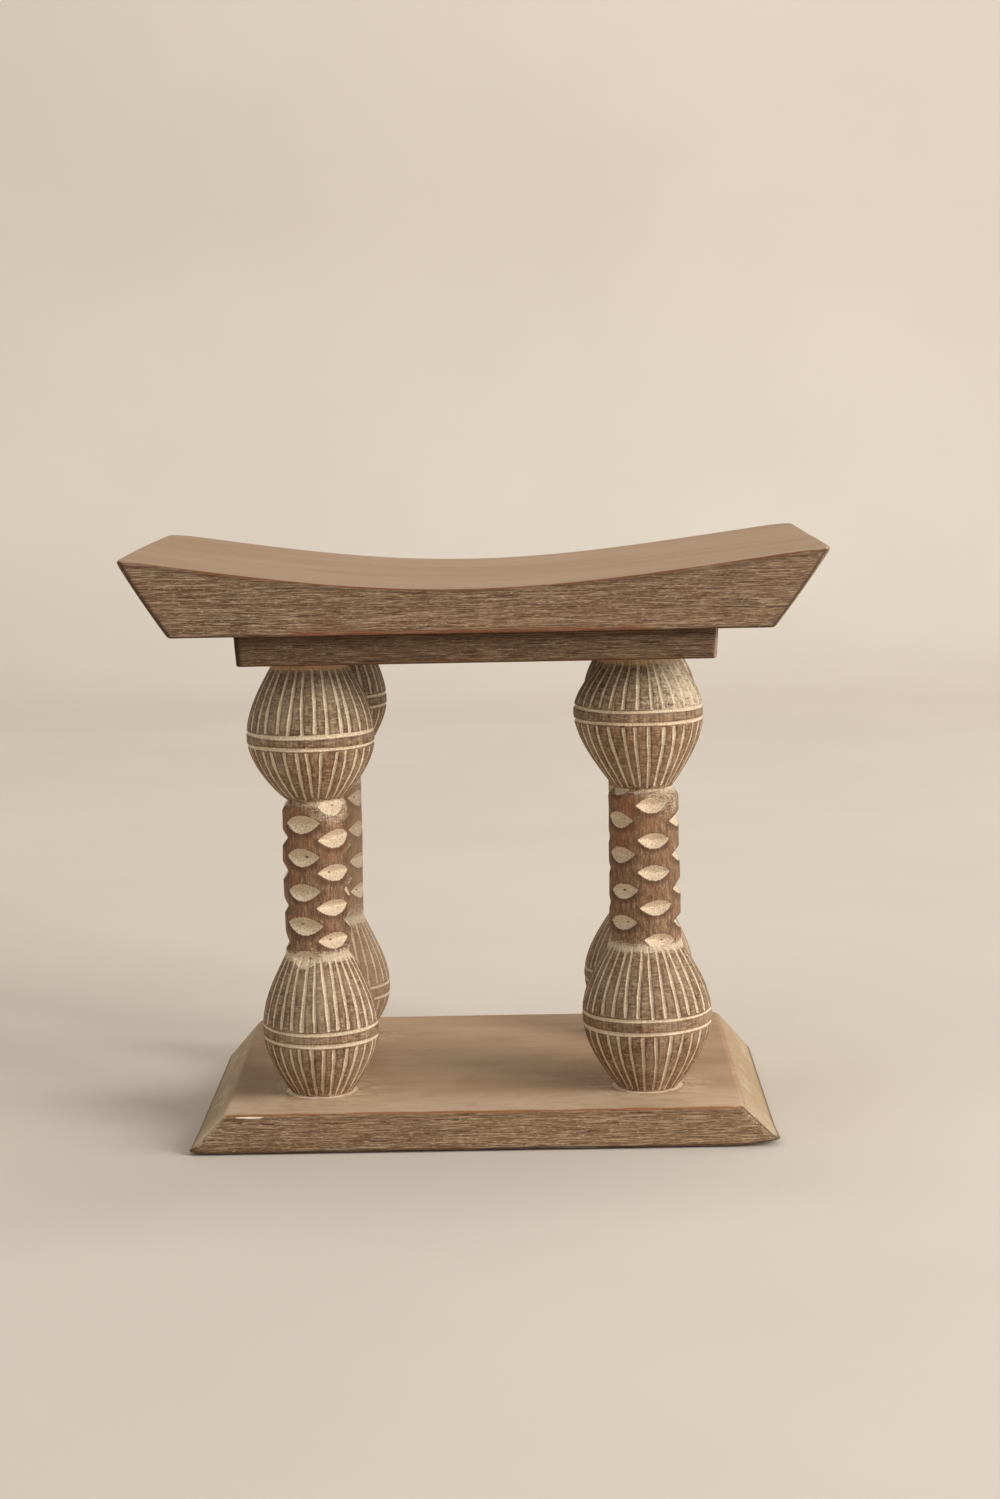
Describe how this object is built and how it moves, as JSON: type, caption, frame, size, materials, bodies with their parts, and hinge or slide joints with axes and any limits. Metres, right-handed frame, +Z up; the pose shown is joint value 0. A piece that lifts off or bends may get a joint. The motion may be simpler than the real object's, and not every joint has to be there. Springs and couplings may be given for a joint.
{
  "type": "headrest",
  "caption": "Stool-shaped wooden headrest: a saddle-topped board and an under board on carved gourd-shaped pillars with eye-shaped cuts, standing on a base board with slanted ends.",
  "frame": {"origin": "centre of the base board's underside", "axes": "+X along the boards, to the right seen from the front; -Y is the front; +Z up"},
  "size_m": [0.3, 0.185, 0.2569],
  "materials": {
    "board_wood": "limed and waxed, worn arrises, matte",
    "under_board_wood": "limed and waxed, darker, matte",
    "pillar_wood": "carved, limed in the cuts, matte",
    "dowel_wood": "plain unfinished",
    "screw_steel": "zinc plated"
  },
  "bodies": {
    "root": {"head_board": "board_wood", "under_board": "under_board_wood", "base_board": "board_wood", "pillar_front_left": "pillar_wood", "pillar_front_right": "pillar_wood", "pillar_back_left": "pillar_wood", "pillar_back_right": "pillar_wood", "top_dowel_front_left": "dowel_wood", "top_dowel_front_right": "dowel_wood", "top_dowel_back_left": "dowel_wood", "top_dowel_back_right": "dowel_wood", "foot_dowel_front_left": "dowel_wood", "foot_dowel_front_right": "dowel_wood", "foot_dowel_back_left": "dowel_wood", "foot_dowel_back_right": "dowel_wood", "screw_front_left": "screw_steel", "screw_front_right": "screw_steel", "screw_back_left": "screw_steel", "screw_back_right": "screw_steel"}
  },
  "joints": []
}
